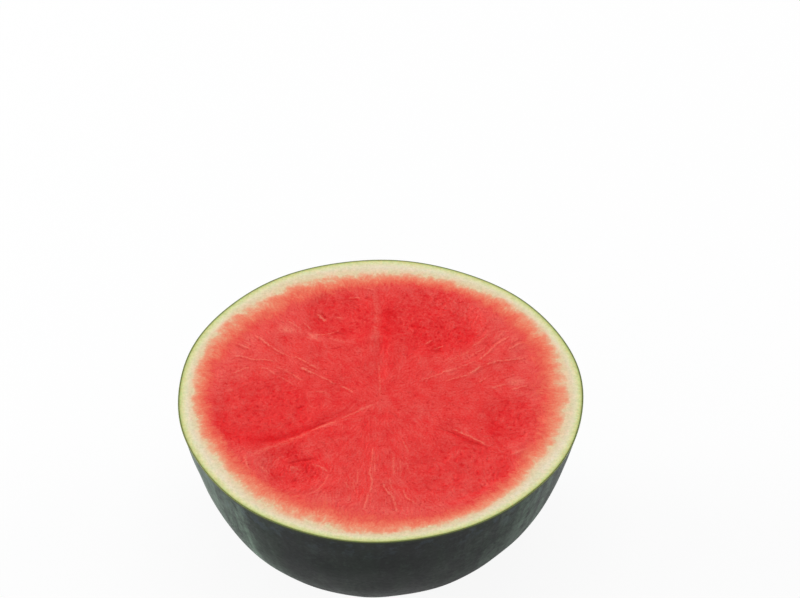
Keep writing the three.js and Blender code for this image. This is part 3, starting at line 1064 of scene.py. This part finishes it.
def makeSkinMaterial(streaks, grain):
    material, tree, shader = newMaterial("darkSkin", {"IOR": 1.31, "Specular IOR Level": 0.5})
    meridian, along = attribute(tree, "meridian", "Vector"), attribute(tree, "along")
    noises = {name: placeGroup(tree, grain, *size) for name, size in skinLook["grains"].items()}
    for name, size in skinLook["streaks"].items():
        noises[name] = placeGroup(tree, streaks, meridian, along, *size)

    # Dark green streaks, with bloom and painted sheen in bands that the finer streaks and grain make uneven:
    # a paler grey-green painted where the flanks catch the light.
    green = remap(tree, noises["broad"], *skinLook["greenStreaks"])
    shade = mixColours(tree, green, skinLook["dark"], skinLook["green"])
    band = attribute(tree, "bloomAndSheen")
    uneven = pushed(tree, 0.0, noises, skinLook["uneven"])
    most = calculate(tree, "MULTIPLY_ADD", band, skinLook["bandUnevenness"], skinLook["unevenness"])
    everywhere = calculate(tree, "ADD", band, skinLook["bloomEverywhere"])
    bloomAndSheen = calculate(tree, "MULTIPLY_ADD", uneven, most, everywhere)
    shade = mixColours(tree, calculate(tree, "MAXIMUM", bloomAndSheen, 0.0, clamp=True), shade, skinLook["bloomAndSheen"])
    below = calculate(tree, "SUBTRACT", along, fruit["cutRadius"])
    blue = calculate(tree, "MULTIPLY", remap(tree, below, *skinLook["blueRange"]),
                     remap(tree, noises["mottle"], *skinLook["bluePatches"]))
    shade = mixColours(tree, blue, shade, skinLook["blueBloom"])
    shade = mixColours(tree, remap(tree, below, *skinLook["edgeRange"]), shade, skinLook["cutEdge"])
    shade = mixColours(tree, remap(tree, below, *skinLook["cornerRange"]), shade, skinLook["wornCorner"])

    # Stem end: pale ring, radial streaks and the brown scar.
    rings, _ = sectionRings()
    fromStem = calculate(tree, "SUBTRACT", rings[0][3], along)
    wander = pushed(tree, fromStem, noises, scarLook["wander"])
    rays = placeGroup(tree, streaks, meridian, along, *scarLook["rays"])
    paler = calculate(tree, "MULTIPLY", remap(tree, fromStem, *scarLook["rayRange"]),
                      remap(tree, rays, *scarLook["rayPatches"]))
    shade = mixColours(tree, paler, shade, scarLook["paleGreen"])
    shade = mixColours(tree, remap(tree, wander, *scarLook["ringRange"]), shade, scarLook["ring"])
    brown = remap(tree, noises["speckle"], *scarLook["barkPatches"])
    bark = mixColours(tree, brown, scarLook["barkDark"], scarLook["bark"])
    shade = mixColours(tree, remap(tree, wander, *scarLook["barkRange"]), shade, bark)
    tree.links.new(shade, shader.inputs["Base Color"])

    addBump(tree, shader, noises["pore"], skinLook["bump"], skinLook["bumpHeight"])
    dull = remap(tree, wander, *scarLook["roughness"])
    dull = calculate(tree, "MULTIPLY_ADD", noises["pore"], skinLook["poreRoughness"], dull)
    tree.links.new(dull, shader.inputs["Roughness"])
    return material


studio = {
    "floorSize": 9.0,
    "floorColour": colour(212, 212, 212),
    "floorRoughness": 0.9,
    "seenColour": colour(84, 84, 84),  # the camera sees mostly even light on the floor, and a little shading
    "floorGlow": 0.9,
    "worldColour": colour(250, 250, 252),
    "worldStrength": 0.52,
    "lightTarget": (0, 0, 0.08),
    # name, place, size across and up, power in watts
    "lights": [
        ("leftStrip", (-2.9, 0.7, 0.46), (1.2, 0.5), 140),
        ("rightStrip", (2.9, 0.7, 0.46), (1.2, 0.5), 80),
        ("leftBox", (-3.4, -1.2, 1.9), (1.6, 2.2), 12),
        ("topBox", (0.2, 0.8, 4.0), (2.4, 2.4), 30),
    ],
}
view = {
    "imageWidth": 800,
    "imageHeight": 598,
    "faceCentrePx": (380.7, 401.1),
    "faceHalfWidthPx": 203.0,
    "elevation": 44.2,
    "distance": 10.0,  # so far off that the cut hardly narrows towards its back
    "sensorWidth": 36,
    "clipEnd": 50,
}


def makeFloor():
    edge = studio["floorSize"] / 2
    corners = [(-edge, -edge, 0), (edge, -edge, 0), (edge, edge, 0), (-edge, edge, 0)]
    mesh = bpy.data.meshes.new("studioFloor")
    mesh.from_pydata(corners, [], [(0, 1, 2, 3)])
    floor = bpy.data.objects.new("studioFloor", mesh)
    bpy.context.scene.collection.objects.link(floor)
    material, tree, shader = newMaterial("paleFloor", {
        "Base Color": studio["floorColour"], "Roughness": studio["floorRoughness"]})
    # The camera sees a brighter floor than the one that throws light on the fruit.
    glow = addNode(tree, "ShaderNodeEmission", inputs={"Strength": studio["floorGlow"]})
    shaded = addNode(tree, "ShaderNodeBsdfDiffuse", inputs={"Color": studio["seenColour"]})
    lit = addNode(tree, "ShaderNodeAddShader", inputs={
        0: shaded.outputs["BSDF"], 1: glow.outputs["Emission"]})
    seen = addNode(tree, "ShaderNodeLightPath").outputs["Is Camera Ray"]
    both = addNode(tree, "ShaderNodeMixShader", inputs={
        0: seen, 1: shader.outputs["BSDF"], 2: lit.outputs["Shader"]})
    tree.links.new(both.outputs["Shader"], tree.nodes["Material Output"].inputs["Surface"])
    mesh.materials.append(material)
    print("floor: done")


def makeLights():
    world = bpy.data.worlds.new("paleStudio")
    bpy.context.scene.world = world
    world.use_nodes = True
    background = world.node_tree.nodes["Background"]
    background.inputs["Color"].default_value = studio["worldColour"]
    background.inputs["Strength"].default_value = studio["worldStrength"]
    target = Vector(studio["lightTarget"])
    for name, place, (across, up), power in studio["lights"]:
        data = bpy.data.lights.new(name, "AREA")
        data.shape = "RECTANGLE"
        data.size, data.size_y = across, up
        data.energy = power
        light = bpy.data.objects.new(name, data)
        bpy.context.scene.collection.objects.link(light)
        light.location = place
        light.rotation_euler = (target - Vector(place)).to_track_quat("-Z", "Y").to_euler()
    print(f"lights: {len(studio['lights'])}")


def makeCamera():
    data = bpy.data.cameras.new("camera")
    camera = bpy.data.objects.new("camera", data)
    bpy.context.scene.collection.objects.link(camera)
    bpy.context.scene.camera = camera
    distance, cutRadius = view["distance"], fruit["cutRadius"] * mm
    elevation = math.radians(view["elevation"])
    across, upwards = math.cos(elevation), math.sin(elevation)
    focalPx = distance * view["faceHalfWidthPx"] / cutRadius
    data.sensor_width = view["sensorWidth"]
    data.lens = focalPx * view["sensorWidth"] / view["imageWidth"]
    data.clip_end = view["clipEnd"]
    _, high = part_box("watermelon_half")
    camera.location = Vector((0, 0, high.z)) + distance * Vector((0, -across, upwards))
    # In perspective the near half of the cut looks larger, so its middle is above the middle of its outline.
    lift = focalPx * cutRadius**2 * across * upwards / (distance**2 - (cutRadius * across) ** 2)
    left = view["imageWidth"] / 2 - view["faceCentrePx"][0]
    down = view["faceCentrePx"][1] - lift - view["imageHeight"] / 2
    tilt = elevation - math.atan(down / focalPx)
    camera.rotation_euler = (math.pi / 2 - tilt, 0, -left / (focalPx * across))
    print(f"camera: lens {data.lens:.0f} mm at {distance} m")


makeCamera()
makeLights()
makeFloor()
bpy.context.scene.view_settings.view_transform = "Standard"

half = makePiece()
streakGroup, grainGroup, fibreGroup = makeStreakGroup(), makeGrainGroup(), makeFibreGroup()
half.data.materials.append(makeSkinMaterial(streakGroup, grainGroup))
half.data.materials.append(makeFleshMaterial(streakGroup, grainGroup, fibreGroup))
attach(half, "root")
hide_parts("watermelon_half")
print("materials and frame: done")
